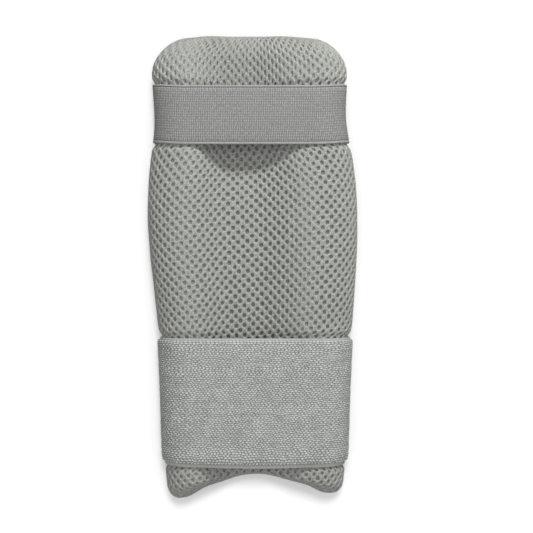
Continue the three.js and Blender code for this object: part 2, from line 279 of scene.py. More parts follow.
def pad_point(u, y):
    """The pad's surface over the place u round the section and y along it, as x, y and z."""
    lower = y - (MIDDLE_Y - HALF_LENGTH)
    upper = (MIDDLE_Y + HALF_LENGTH) - y
    lower_open = np.sqrt(np.maximum(0.0, 1.0 - (1.0 - np.clip(lower / LOWER_END_ROUNDING, 0.0, 1.0)) ** 2))
    upper_open = np.sqrt(np.maximum(0.0, 1.0 - (1.0 - np.clip(upper / UPPER_END_ROUNDING, 0.0, 1.0)) ** 2))
    openness = lower_open * upper_open
    pull = corner_pull(lower, LOWER_CORNER_RADIUS) * corner_pull(upper, UPPER_CORNER_RADIUS)
    x, _, half, middle = closed_point(u, y, openness, pull)
    _, on_outer, from_tip = round_place(u)
    place = y + end_shift(x, half, middle, y) + drift_shift(y, down_share(on_outer, from_tip))
    x, z, _, _ = closed_point(u, place, openness, pull)
    return np.stack(np.broadcast_arrays(x, place, z), axis=-1)


def row_places(end_count, middle_count):
    """Places along the guard, closest round the two ends, where the surface turns over."""
    turn = np.linspace(0.0, math.pi / 2, end_count)
    low_end = MIDDLE_Y - HALF_LENGTH
    high_end = MIDDLE_Y + HALF_LENGTH
    lower = low_end + LOWER_END_ROUNDING * (1.0 - np.cos(turn))
    upper = high_end - UPPER_END_ROUNDING * (1.0 - np.cos(turn[::-1]))
    return np.concatenate([lower, np.linspace(lower[-1], upper[0], middle_count)[1:-1], upper])


def surface_normals(points):
    """Outward normals of a grid that is closed round its first direction: one step along it crossed with
    one step round it."""
    around = np.roll(points, -1, axis=0) - np.roll(points, 1, axis=0)
    along = np.gradient(points, axis=1)
    normals = np.cross(along, around)
    return normals / np.maximum(np.linalg.norm(normals, axis=2, keepdims=True), 1e-12)


def new_mesh(name, points, corners, sizes, uv=None):
    """A mesh object from whole arrays: points, the corners of its faces in turn, and each face's size."""
    mesh = bpy.data.meshes.new(name)
    mesh.vertices.add(len(points))
    mesh.vertices.foreach_set("co", np.ascontiguousarray(points, dtype=np.float32).ravel())
    mesh.loops.add(len(corners))
    mesh.loops.foreach_set("vertex_index", np.ascontiguousarray(corners, dtype=np.int32))
    mesh.polygons.add(len(sizes))
    starts = np.concatenate([[0], np.cumsum(sizes)[:-1]])
    mesh.polygons.foreach_set("loop_start", starts.astype(np.int32))
    if uv is not None:
        layer = mesh.uv_layers.new(name="fabric")
        layer.data.foreach_set("uv", np.ascontiguousarray(uv, dtype=np.float32).ravel())
    mesh.update(calc_edges=True)
    mesh.polygons.foreach_set("use_smooth", np.ones(len(sizes), dtype=bool))
    piece = bpy.data.objects.new(name, mesh)
    bpy.context.scene.collection.objects.link(piece)
    return piece


# The swell of the padding

SWELL_FRAMES = 24
SMOOTHING_PASSES = 2
WEIGHT_STEP = 0.1
COARSE_END_ROWS = 6
COARSE_LENGTH_ROWS = 72
RESTING_FADE = 0.35
TROUGH_HOLD = 0.6
TROUGH_FADE = 0.3
MEAN_TAKEN_OUT = 0.85
BAND_REACH = 0.01


def swell_mesh(points):
    """A closed mesh of a coarse grid of the pad, whose two faces share the vertices of the end seams."""
    count, rows = points.shape[:2]
    index = np.arange(count * rows).reshape(count, rows)
    around = np.arange(count)
    partner = (count // 2 - around) % count
    for row in (0, rows - 1):
        index[:, row] = index[np.minimum(around, partner), row]
    here = index[:, :-1]
    after = np.roll(index, -1, axis=0)[:, :-1]
    quads = np.stack([here, index[:, 1:], np.roll(index, -1, axis=0)[:, 1:], after], axis=-1).reshape(-1, 4)
    return new_mesh("swelling_pad", points.reshape(-1, 3), quads.ravel(), np.full(len(quads), 4))


def swelled_grid(points, free, pressure, cap):
    """How far cloth under pressure moves each point of a coarse grid of the pad, bent over to stay under the
    cap and smoothed. free is 1 where the cover may move and 0 where a band or the table holds it."""
    piece = swell_mesh(points)
    held = piece.vertex_groups.new(name="held")
    weights = (1.0 - free).ravel()
    for level in np.unique(np.round(weights, 1)):
        chosen = np.flatnonzero(np.abs(weights - level) <= WEIGHT_STEP / 2)
        if level > 0:
            held.add(chosen.tolist(), float(level), "REPLACE")
    cloth = piece.modifiers.new("swell", "CLOTH")
    settings = cloth.settings
    settings.quality = 5
    settings.mass = 0.01
    settings.tension_stiffness = 0.8
    settings.compression_stiffness = 0.8
    settings.shear_stiffness = 0.4
    settings.bending_stiffness = 0.05
    settings.use_pressure = True
    settings.uniform_pressure_force = pressure
    settings.vertex_group_mass = "held"
    settings.effector_weights.gravity = 0.0
    cloth.collision_settings.use_collision = False
    cloth.point_cache.frame_start = 1
    cloth.point_cache.frame_end = SWELL_FRAMES
    scene = bpy.context.scene
    for number in range(1, SWELL_FRAMES + 1):
        scene.frame_set(number)
    moved = piece.evaluated_get(bpy.context.evaluated_depsgraph_get()).to_mesh()
    flat = np.empty(len(moved.vertices) * 3, dtype=np.float32)
    moved.vertices.foreach_get("co", flat)
    found = flat.reshape(points.shape).astype(float)
    bpy.data.objects.remove(piece, do_unlink=True)
    scene.frame_set(1)
    move = found - points
    length = np.linalg.norm(move, axis=2, keepdims=True)
    move *= (np.tanh(length / cap) * cap / np.maximum(length, 1e-9)) * free[..., None]
    for _ in range(SMOOTHING_PASSES):
        move = (np.roll(move, 1, axis=0) + 2 * move + np.roll(move, -1, axis=0)) / 4
        move[:, 1:-1] = (move[:, :-2] + 2 * move[:, 1:-1] + move[:, 2:]) / 4
    return move


def finer(layer, from_places, to_places, to_count):
    """Reads a coarse grid that is closed round its first direction at finer places, straight in between."""
    count = layer.shape[0]
    reach = np.arange(to_count) * count / to_count
    i = np.floor(reach).astype(int)
    part = (reach - i)[:, None, None]
    around = layer[i % count] * (1 - part) + layer[(i + 1) % count] * part
    j = np.clip(np.searchsorted(from_places, to_places, side="right") - 1, 0, len(from_places) - 2)
    step = ((to_places - from_places[j]) / (from_places[j + 1] - from_places[j]))[None, :, None]
    return around[:, j] * (1 - step) + around[:, j + 1] * step


# The chart that the knitted cover is laid out on

class Chart(NamedTuple):
    """The pad's surface laid out by lengths measured on it: points, normals, and room left to the seam."""

    points: np.ndarray
    normals: np.ndarray
    room: np.ndarray
    girth: float


def even_around(points):
    """Moves the columns of a grid so that they are evenly spaced round each row, the trough's middle first,
    and gives the usual girth."""
    count = points.shape[0]
    closed = np.concatenate([points, points[:1]])
    steps = np.linalg.norm(np.diff(closed, axis=0), axis=2)
    run = np.concatenate([np.zeros((1, points.shape[1])), np.cumsum(steps, axis=0)])
    targets = np.arange(count) / count
    rows = []
    for j in range(points.shape[1]):
        share = (run[:, j] - run[count // 2, j]) / run[-1, j]
        own = share[:-1] % 1.0
        rows.append([np.interp(targets, own, points[:, j, axis], period=1.0) for axis in range(3)])
    return np.array(rows).transpose(2, 0, 1), float(np.median(run[-1]))


def even_along(points, normals):
    """Moves the rows of a grid so that they are evenly spaced along each column, from the guard's middle."""
    steps = np.linalg.norm(np.diff(points, axis=1), axis=2)
    run = np.concatenate([np.zeros((points.shape[0], 1)), np.cumsum(steps, axis=1)], axis=1)
    reach = int(math.ceil(CHART_REACH * (PAD_HIGH[1] - PAD_LOW[1]) / CHART_STEP))
    targets = np.arange(-reach, reach + 1) * CHART_STEP
    layers = np.concatenate([points, normals], axis=2)
    columns = []
    rooms = []
    for i in range(points.shape[0]):
        own = run[i] - np.interp(0.0, points[i, :, 1], run[i])
        columns.append([np.interp(targets, own, layers[i, :, axis]) for axis in range(6)])
        rooms.append(np.minimum(targets - own[0], own[-1] - targets))
    table = np.array(columns).transpose(0, 2, 1)
    return table[..., :3], table[..., 3:], np.array(rooms)


def pad_chart(settings):
    """The whole cover surface: the section carried along the guard, swelled, and laid out evenly."""
    places = row_places(END_SAMPLES, LENGTH_SAMPLES)
    u = np.arange(ROUND_SAMPLES) / ROUND_SAMPLES
    points = pad_point(u[:, None], places[None, :])
    points = points + swell(settings, places)
    points, girth = even_around(points)
    points, normals, room = even_along(points, surface_normals(points))
    return Chart(points, normals, room, girth)


def swell(settings, places):
    """The cover's swell at the fine rows, simulated on a coarse grid."""
    coarse_places = row_places(COARSE_END_ROWS, COARSE_LENGTH_ROWS)
    u = np.arange(settings.swell_columns) / settings.swell_columns
    grid = pad_point(u[:, None], coarse_places[None, :])
    _, on_outer, from_tip = round_place(u[:, None])
    down = down_share(on_outer, from_tip)
    y = grid[..., 1]
    pressed = np.maximum(under_band(UPPER_BAND, y, down), under_band(LOWER_BAND, y, down))
    resting = np.where(on_outer, 1.0 - smooth((1.0 - from_tip - FLAT_SHARE) / RESTING_FADE), 0.0)
    trough = np.where(on_outer, 0.0, TROUGH_HOLD * smooth((from_tip - SHOULDER_SHARE) / TROUGH_FADE))
    free = np.clip(1.0 - np.maximum(pressed, np.maximum(resting, trough)), 0.0, 1.0)
    move = swelled_grid(grid, free, settings.swell_pressure, settings.swell_cap)
    # The section's sizes are those of the filled pad, so most of the swell's mean between the bands comes out
    # again, and its changes along the guard stay.
    past_lower = coarse_places - LOWER_BAND.high
    before_upper = UPPER_BAND.low - coarse_places
    between = (past_lower > BAND_REACH) & (before_upper > BAND_REACH)
    whole = smooth(past_lower / BAND_REACH) * smooth(before_upper / BAND_REACH)
    mean = move[:, between].mean(axis=1, keepdims=True)
    move -= MEAN_TAKEN_OUT * mean * (free * whole[None, :])[..., None]
    return finer(move, coarse_places, places, ROUND_SAMPLES)


def read_chart(layer, share, along):
    """Reads a layer of the chart between its samples, for a share of the way round and a length along."""
    count, rows = layer.shape[:2]
    i = np.floor(share * count)
    part = share * count - i
    i = i.astype(int) % count
    j = np.clip(along / CHART_STEP + (rows - 1) / 2, 0.0, rows - 1.001)
    low = np.floor(j).astype(int)
    step = j - low
    if layer.ndim == 3:
        part = part[..., None]
        step = step[..., None]
    after = (i + 1) % count
    near = layer[i, low] * (1 - part) + layer[after, low] * part
    far = layer[i, low + 1] * (1 - part) + layer[after, low + 1] * part
    return near * (1 - step) + far * step


# The knitted cover: rows that a turn climbs, points of a hole's ring, and the diamond cell round it

ROWS_PER_TURN = -10
RING = 12
CORNERS = np.array([(0.5, 0.0), (0.0, 1.0), (-0.5, 0.0), (0.0, -1.0), (0.5, 0.0)])
STEPS_PER_SIDE = 3
STEPS_PER_COLUMN = 2 * STEPS_PER_SIDE

# Where along the guard the holes change towards an end, and over which length
END_START = 0.05
GATHER_START = 0.045
END_REACH = 0.05
FOOT_START = -0.104
FOOT_REACH = 0.01
# How much of the square end's easing of the painted hole shade also holds at the arched end
FOOT_HOLE_SHADE_EASING = 0.8
END_NARROWING = 0.8
TROUGH_SHALLOWING = 0.25
TROUGH_REACH = 0.11
CREST_PLACE = 0.135
CREST_REACH = 0.035

# Shares of a hole's size for its rim and its bottom, of its depth for the middle, of its painted shade for
# the middle, the painted highlight on its rim as a negative shade, and its uneven places
RIM_SIZE = 1.15
BOTTOM_SIZE = 0.86
MIDDLE_DEPTH = 0.9
MIDDLE_HOLE_SHADE = 0.6
RIM_HIGHLIGHT = -0.4
PLACE_SPREAD = 0.02
SIZE_SPREAD = 0.05

# A thread point's two whole numbers are joined into one key. Faces under the smallest area are left out.
KEY_BASE = 100000
SMALLEST_AREA = 1e-11


class Cover(NamedTuple):
    """The cover's arrays. Points have their painted shading: above 0 painted shade in a hole, below 0 a
    painted highlight on the thread round a hole. Each hole has quads and fans, their places on the fabric's
    map, and whether it lies on the arm side."""

    points: np.ndarray
    hole_shading: np.ndarray
    quads: np.ndarray
    quad_places: np.ndarray
    fans: np.ndarray
    fan_places: np.ndarray
    on_arm_side: np.ndarray


def cell_outline():
    """The diamond round one hole, in columns and rows from its middle: three steps along each side."""
    steps = np.arange(STEPS_PER_SIDE) / STEPS_PER_SIDE
    sides = [CORNERS[k] + (CORNERS[k + 1] - CORNERS[k]) * steps[:, None] for k in range(4)]
    return np.concatenate(sides)


def column_share(a, along, columns, settings):
    """Share of the way round of a column: even, but drawn together in the trough at the square end, by a sine
    of twice the turn, where the cover is pulled lengthwise."""
    even = a / columns
    drawn = settings.trough_gather * smooth((along - GATHER_START) / END_REACH)
    return (even - drawn * np.sin(4 * math.pi * even) / (4 * math.pi)) % 1.0


def length_at(a, b, columns, settings):
    """Length along the guard of a place in columns and rows: the rows climb with the turn."""
    return (b + ROWS_PER_TURN * (a / columns)) * settings.row_pitch


def hole_places(chart, columns, outline, settings):
    """Columns and rows of the middles of all holes whose cell reaches onto the cover, in staggered rows."""
    reach = int(math.ceil((HALF_LENGTH * 2 * CHART_REACH) / settings.row_pitch)) + abs(ROWS_PER_TURN)
    row, column = np.meshgrid(np.arange(-reach, reach + 1), np.arange(columns), indexing="ij")
    a = (column + 0.5 * (row % 2)).ravel()
    b = row.ravel().astype(float)
    ring_share = ((a[:, None] + outline[:, 0]) / columns) % 1.0
    # A turn past the last column is the same thread as some rows further on.
    beyond = a > columns / 2
    a = np.where(beyond, a - columns, a)
    b = b + np.where(beyond, ROWS_PER_TURN, 0)
    along = length_at(a[:, None] + outline[:, 0], b[:, None] + outline[:, 1], columns, settings)
    keep = read_chart(chart.room, ring_share, along).max(axis=1) > 0
    return a[keep], b[keep]


def thread_points(a, b, columns, outline):
    """The thread points that neighbouring cells share: each cell's own, and the column and row of each."""
    ring_a = np.round(STEPS_PER_COLUMN * (a[:, None] + outline[:, 0])).astype(int)
    ring_b = np.round(STEPS_PER_SIDE * (b[:, None] + outline[:, 1])).astype(int)
    turns = np.floor(ring_a / (STEPS_PER_COLUMN * columns) + 0.5).astype(int)
    ring_a = ring_a - turns * STEPS_PER_COLUMN * columns
    ring_b = ring_b + turns * STEPS_PER_SIDE * ROWS_PER_TURN
    keys, shared = np.unique(ring_a * KEY_BASE + ring_b + KEY_BASE // 2, return_inverse=True)
    top_a = np.floor_divide(keys, KEY_BASE)
    top_b = keys - top_a * KEY_BASE - KEY_BASE // 2
    return shared.reshape(len(a), RING), top_a / STEPS_PER_COLUMN, top_b / STEPS_PER_SIDE


def ring_quads(outer, inner):
    """The quads between two rings of each hole."""
    return np.stack([outer, inner, np.roll(inner, -1, axis=1), np.roll(outer, -1, axis=1)], axis=2)


def knitted_cover(settings, chart):
    """The whole cover.

    Holes stand in columns and staggered rows. Each has a diamond cell, which fills the surface together
    with its neighbours, an oval rim, an oval bottom that is smaller and deeper, and a middle point."""
    columns = int(round(chart.girth / settings.column_pitch))
    pitch = np.array([chart.girth / columns, settings.row_pitch])
    outline = cell_outline()
    a, b = hole_places(chart, columns, outline, settings)
    cells = len(a)
    rng = np.random.default_rng(7)
    wander = rng.normal(0.0, PLACE_SPREAD, (cells, 2))
    widths = settings.hole_width / 2 * (1 + rng.normal(0.0, SIZE_SPREAD, cells))
    heights = settings.hole_height / 2 * (1 + rng.normal(0.0, SIZE_SPREAD, cells))
    along = length_at(a, b, columns, settings)
    at_end = smooth((along - END_START) / END_REACH)
    at_foot = smooth((FOOT_START - along) / FOOT_REACH)
    heights = heights * (1 + settings.end_stretch * at_end)
    widths = widths * (1 - END_NARROWING * settings.end_stretch * at_end)

    def lay(at_a, at_b, depth):
        """Points of the surface at columns and rows, sunk by a depth that fades out at the end seams."""
        length = length_at(at_a, at_b, columns, settings)
        share = column_share(at_a, length, columns, settings)
        fade = smooth(read_chart(chart.room, share, length) / settings.seam_fade)
        points = read_chart(chart.points, share, length)
        normals = read_chart(chart.normals, share, length)
        return points - normals * (depth * fade)[..., None]

    turn = np.arange(RING) * 2 * math.pi / RING
    spin_a = np.cos(turn)[None, :] * (widths / pitch[0])[:, None]
    spin_b = np.sin(turn)[None, :] * (heights / pitch[1])[:, None]
    mid_a = a + wander[:, 0]
    mid_b = b + wander[:, 1]
    open_share = crest_openness(mid_a / columns, settings)
    from_trough = np.abs((mid_a / columns + 0.5) % 1.0 - 0.5)
    pulled_flat = TROUGH_SHALLOWING * at_end * np.exp(-(from_trough / TROUGH_REACH) ** 2)
    depths = settings.hole_depth * open_share * (1.0 - pulled_flat)
    # Painted shade inside each hole, as strong as the hole is open, eased at both ends to paint the holes
    # lighter there.
    hole_shades = open_share * (1.0 - settings.end_hole_shade_easing * np.maximum(at_end, FOOT_HOLE_SHADE_EASING * at_foot))

    shared, top_a, top_b = thread_points(a, b, columns, outline)
    top = lay(top_a, top_b, np.full(len(top_a), settings.web_drop))
    rim = lay(mid_a[:, None] + spin_a * RIM_SIZE, mid_b[:, None] + spin_b * RIM_SIZE, np.zeros((cells, RING)))
    bottom = lay(mid_a[:, None] + spin_a * BOTTOM_SIZE, mid_b[:, None] + spin_b * BOTTOM_SIZE,
                 np.repeat(depths[:, None], RING, 1))
    middle = lay(mid_a, mid_b, depths * MIDDLE_DEPTH)
    points = np.concatenate([top, rim.reshape(-1, 3), bottom.reshape(-1, 3), middle])
    # Painted shading: none on the web, a painted highlight on the rims, painted shade on the bottoms and in
    # the middles.
    hole_shading = np.concatenate([np.zeros(len(top)), np.full(cells * RING, RIM_HIGHLIGHT),
                             np.repeat(hole_shades, RING), MIDDLE_HOLE_SHADE * hole_shades])

    rims = len(top) + np.arange(cells * RING).reshape(cells, RING)
    bottoms = rims + cells * RING
    middles = np.repeat((len(top) + 2 * cells * RING + np.arange(cells))[:, None], RING, 1)
    places = np.stack([a[:, None] + outline[:, 0], b[:, None] + outline[:, 1]], axis=-1)
    rim_places = np.stack([mid_a[:, None] + spin_a, mid_b[:, None] + spin_b], axis=-1)
    middle_places = np.repeat(np.stack([mid_a, mid_b], axis=-1)[:, None], RING, 1)
    quads = np.stack([ring_quads(shared, rims), ring_quads(rims, bottoms)], axis=1)
    quad_places = np.stack([ring_quads(places, rim_places), ring_quads(rim_places, rim_places)], axis=1)
    fans = np.stack([bottoms, middles, np.roll(bottoms, -1, axis=1)], axis=2)
    fan_places = np.stack([rim_places, middle_places, np.roll(rim_places, -1, axis=1)], axis=2)
    on_arm_side = np.abs(a / columns) < WIDEST_PLACE
    return Cover(points, hole_shading, quads, quad_places * pitch, fans, fan_places * pitch, on_arm_side)


def crest_openness(share, settings):
    """How open the holes are: fully in the trough and down the sides, less in a bell over either crest, where
    the foam fills them."""
    from_crest = np.abs(np.abs((share + 0.5) % 1.0 - 0.5) - CREST_PLACE)
    return 1.0 - settings.crest_filling * np.exp(-(from_crest / CREST_REACH) ** 2)


def vertex_normals(cover):
    """Normals of the cover's vertices: the area-weighted sum of the normals of the faces round each."""
    points = cover.points
    total = np.zeros_like(points)
    quads = cover.quads.reshape(-1, 4)
    fans = cover.fans.reshape(-1, 3)
    quad_normals = np.cross(points[quads[:, 2]] - points[quads[:, 0]],
                            points[quads[:, 3]] - points[quads[:, 1]])
    fan_normals = np.cross(points[fans[:, 1]] - points[fans[:, 0]],
                           points[fans[:, 2]] - points[fans[:, 0]])
    for axis in range(3):
        sums = np.bincount(quads.ravel(), np.repeat(quad_normals[:, axis], 4), len(points))
        sums_of_fans = np.bincount(fans.ravel(), np.repeat(fan_normals[:, axis], 3), len(points))
        total[:, axis] = sums + sums_of_fans
    return total / np.maximum(np.linalg.norm(total, axis=1, keepdims=True), 1e-20)


def whole_faces(points, faces):
    """Which quads or triangles have an area: the length of the cross product of two of their spans."""
    first = points[faces[:, 2]] - points[faces[:, 0]]
    second = points[faces[:, -1]] - points[faces[:, 1]]
    return np.linalg.norm(np.cross(first, second), axis=1) > SMALLEST_AREA


def cover_piece(name, cover, normals, chosen, material):
    """One half of the cover as its own object, with the normals of the whole, so that no join shows."""
    quads = cover.quads[chosen].reshape(-1, 4)
    fans = cover.fans[chosen].reshape(-1, 3)
    keep_quads = whole_faces(cover.points, quads)
    keep_fans = whole_faces(cover.points, fans)
    corners = np.concatenate([quads[keep_quads].ravel(), fans[keep_fans].ravel()])
    places = np.concatenate([cover.quad_places[chosen].reshape(-1, 4, 2)[keep_quads].reshape(-1, 2),
                             cover.fan_places[chosen].reshape(-1, 3, 2)[keep_fans].reshape(-1, 2)])
    sizes = np.concatenate([np.full(keep_quads.sum(), 4), np.full(keep_fans.sum(), 3)])
    used, corners = np.unique(corners, return_inverse=True)
    piece = new_mesh(name, cover.points[used], corners, sizes, places)
    layer = piece.data.attributes.new("hole_shading", "FLOAT", "POINT")
    layer.data.foreach_set("value", cover.hole_shading[used].astype(np.float32))
    piece.data.normals_split_custom_set_from_vertices(normals[used].astype(np.float32))
    piece.data.materials.append(material)
    return piece


# The elastic bands: samples of a path along the back, a shoulder and the trough, and round the narrow band

BACK_SAMPLES = 120
SHOULDER_SAMPLES = 80
SPAN_SAMPLES = 40
WOVEN_ROUND = 560

# The narrow band's cut face: its points, how its body lies and sinks, its stitches and its unevenness
EDGE_POINTS = 7
BODY_POINTS = 22
BACK_POINTS = 6
BODY_MARGIN = 0.004
BODY_SINK = 0.25
SELVEDGE_START = 0.3
STITCH_PLACE = 0.0012
STITCH_LENGTH = 0.001
UNEVENNESS = 0.00012
UNEVEN_WAVES = ((1, 7, 3), (1, 4, -5))

# The wide band's pile: its samples, the edges beside it, the form of a loop, and how loops and rows wander
LOOPS_ROUND = 116
LOOP_SAMPLES = 5
LOOP_ROW_SAMPLES = 2
HEM_EDGE_POINTS = 5
PILE_BACK_POINTS = 7
PILE_MARGIN = 0.0003
HEM_REACH = 0.012
SHORTEST_LOOP = 0.6
LOOP_FOOT = 0.1
LOOP_FULLNESS = 0.7
SCALLOPED_ROWS = 1.6
SWAY_WAVES = ((0.15, 6, 0.2), (0.1, 17, -0.3))
SWAY_SPREAD = 0.08
WANDER_WAVES = ((1, 9, 0.21), (1, 23, -0.33), (1, 41, 0.5))

# Points across the two woven edges of the wide band, as shares of their width and of their thickness
LOW_HEM_POINTS = ((0.45, 1.0), (0.75, 1.0), (0.95, 0.8))
HIGH_HEM_POINTS = ((1.0, 0.9), (0.6, 1.0))


def band_loop(band, y, count):
    """The closed path of a band at places y across it, evenly spaced, and its length: along the resting face,
    up the sides, and straight from crest to crest over the trough."""
    outer = np.linspace(0.0, WIDEST_PLACE, BACK_SAMPLES, endpoint=False)
    shoulder = WIDEST_PLACE + np.linspace(0.0, WIDEST_PLACE * SHOULDER_SHARE, SHOULDER_SAMPLES)
    half_u = np.concatenate([outer, shoulder])

    def side_path(side, u):
        """The path on one side of the guard, over places u round the section."""
        _, on_outer, from_tip = round_place(u[:, None])
        down = down_share(on_outer, from_tip)
        place = y[None, :] + band.drift * down
        sizes = section_sizes(place, down)
        outer_x, outer_z = outer_curve(sizes, side, 1.0 - from_tip)
        inner_x, inner_z = inner_curve(sizes, side, from_tip)
        x = np.where(on_outer, outer_x, inner_x) + sizes[3]
        return np.stack([x, place, np.where(on_outer, outer_z, inner_z)], axis=-1)

    right = side_path(1.0, half_u)
    left = side_path(-1.0, half_u[1:][::-1])
    share = (np.arange(1, SPAN_SAMPLES) / SPAN_SAMPLES)[:, None, None]
    span = right[-1][None] * (1 - share) + left[0][None] * share
    raw = np.concatenate([right, span, left])
    closed = np.concatenate([raw, raw[:1]])
    steps = np.linalg.norm(np.diff(closed, axis=0), axis=2)
    run = np.concatenate([np.zeros((1, len(y))), np.cumsum(steps, axis=0)])
    targets = np.arange(count) / count
    rows = [[np.interp(targets, run[:, j] / run[-1, j], closed[:, j, axis]) for axis in range(3)]
            for j in range(len(y))]
    return np.array(rows).transpose(2, 0, 1), float(np.median(run[-1]))


def outward(path):
    """The path's normals in the plane across the guard: its run turned a quarter outwards."""
    run = np.roll(path, -1, axis=0) - np.roll(path, 1, axis=0)
    length = np.hypot(run[..., 0], run[..., 2])
    return np.stack([run[..., 2] / length, np.zeros_like(length), -run[..., 0] / length], axis=-1)


def band_piece(name, band, y, lift, count, relief, material):
    """A closed band, and its length round: its cut face, as places y across it and lifts from the pad, swept
    round the path. relief gives what stands proud at each place round and across, and how far each place
    slides along the guard."""
    path, girth = band_loop(band, y, count)
    proud, slide = relief(count, y, lift)
    height = STRAP_CLEARANCE + lift[None, :] + proud
    points = path + outward(path) * height[..., None]
    points[..., 1] += slide
    # What lies on the table is pressed flat there.
    points[..., 2] = np.maximum(points[..., 2], 0.0)
    rows = len(y)
    index = np.arange(count * rows).reshape(count, rows)
    i, j = np.meshgrid(np.arange(count), np.arange(rows), indexing="ij")
    after_i = (i + 1) % count
    after_j = (j + 1) % rows
    quads = np.stack([index[i, j], index[i, after_j], index[after_i, after_j], index[after_i, j]], axis=-1)
    u = np.stack([i, i, i + 1, i + 1], axis=-1) * (girth / count)
    v = np.stack([y[j], y[after_j], y[after_j], y[j]], axis=-1)
    uv = np.stack([u, v], axis=-1)
    flat = points.reshape(-1, 3)
    faces = quads.reshape(-1, 4)
    volume = np.einsum("ij,ij->i", flat[faces[:, 0]], np.cross(flat[faces[:, 1]], flat[faces[:, 2]])).sum()
    if volume < 0:
        faces = faces[:, ::-1]
        uv = uv[:, :, ::-1]
    piece = new_mesh(name, flat, faces.ravel(), np.full(len(faces), 4), uv.reshape(-1, 2))
    layer = piece.data.attributes.new("proud", "FLOAT", "POINT")
    layer.data.foreach_set("value", (proud / max(proud.max(), 1e-9)).ravel().astype(np.float32))
    piece.data.materials.append(material)
    return piece, girth


def upper_face(settings):
    """The narrow band's cut face: a flat back, round edges, and a thicker selvedge along either edge."""
    width = UPPER_BAND.high - UPPER_BAND.low
    thick = UPPER_BAND.thickness
    edge = thick / 2
    groove = settings.groove_width
    sunk = thick - BODY_SINK * settings.groove_depth
    floor = thick - settings.groove_depth

    def rise(selvedge):
        """From the round edge to the body: a raised selvedge, a groove, and the body a little lower."""
        start = edge + SELVEDGE_START * (selvedge - edge)
        marks = [start, selvedge - groove, selvedge - groove / 2, selvedge, selvedge + groove]
        return list(zip(marks, [thick, thick, floor, floor, sunk]))

    turn = np.linspace(-math.pi / 2, math.pi / 2, EDGE_POINTS)
    low_edge = [(edge - edge * math.cos(t), edge + edge * math.sin(t)) for t in turn]
    body = [(p, sunk) for p in np.linspace(BODY_MARGIN, width - BODY_MARGIN, BODY_POINTS)]
    other = [(width - p, h) for p, h in reversed(rise(settings.upper_selvedge))]
    high_edge = [(width - p, h) for p, h in reversed(low_edge)]
    back = [(p, 0.0) for p in np.linspace(width - 2 * edge, 2 * edge, BACK_POINTS)]
    face = np.array([*low_edge, *rise(settings.lower_selvedge), *body, *other, *high_edge, *back])
    return UPPER_BAND.low + face[:, 0], face[:, 1]


def wave_sum(waves, turn, across):
    """A sum of sines. Each has its size, its waves in one turn, and its step from row to row."""
    return sum(size * np.sin(count * turn + step * across) for size, count, step in waves)


def upper_relief(count, y, lift):
    """A very slight unevenness of the narrow band: the product of two slow waves round it, and nothing on its
    back."""
    turn = np.arange(count)[:, None] * 2 * math.pi / count
    across = (y[None, :] - UPPER_BAND.low) / (UPPER_BAND.high - UPPER_BAND.low)
    wave = wave_sum(UNEVEN_WAVES[:1], turn, across) * wave_sum(UNEVEN_WAVES[1:], turn, across)
    return UNEVENNESS * wave * (lift[None, :] > UPPER_BAND.thickness / 2), 0.0


def lower_face(settings):
    """The wide band's cut face: a flat back, thin woven edges, and the pile's thick body between them, whose
    two sides are quarter ellipses. Also gives the first and last of the body's points."""
    width = LOWER_BAND.high - LOWER_BAND.low
    thin = settings.hem_thickness
    full = LOWER_BAND.thickness - settings.loop_height
    low_hem = settings.lower_hem_width
    high_hem = settings.upper_hem_width
    turn = np.linspace(-math.pi / 2, math.pi / 2, HEM_EDGE_POINTS)
    low_edge = [(thin / 2 - thin / 2 * math.cos(t), thin / 2 + thin / 2 * math.sin(t)) for t in turn]
    high_edge = [(width - p, h) for p, h in reversed(low_edge)]
    low_flat = [(p * low_hem, h * thin) for p, h in LOW_HEM_POINTS]
    high_flat = [(width - p * high_hem, h * thin) for p, h in HIGH_HEM_POINTS]
    rows = int(round((width - low_hem - high_hem) / settings.loop_row_pitch))
    places = np.linspace(low_hem + PILE_MARGIN, width - high_hem - PILE_MARGIN, rows * LOOP_ROW_SAMPLES)
    from_edge = np.minimum(places - low_hem, width - high_hem - places)
    reach = np.where(places - low_hem < width / 2, settings.lower_pile_rounding, settings.upper_pile_rounding)
    rounded = np.sqrt(1.0 - (1.0 - np.clip(from_edge / reach, 0.0, 1.0)) ** 2)
    body = list(zip(places, thin + (full - thin) * rounded))
    back = [(p, 0.0) for p in np.linspace(width - 2 * thin, 2 * thin, PILE_BACK_POINTS)]
    face = np.array([*low_edge, *low_flat, *body, *high_flat, *high_edge, *back])
    first = len(low_edge) + len(low_flat)
    return LOWER_BAND.low + face[:, 0], face[:, 1], (first, first + len(body))


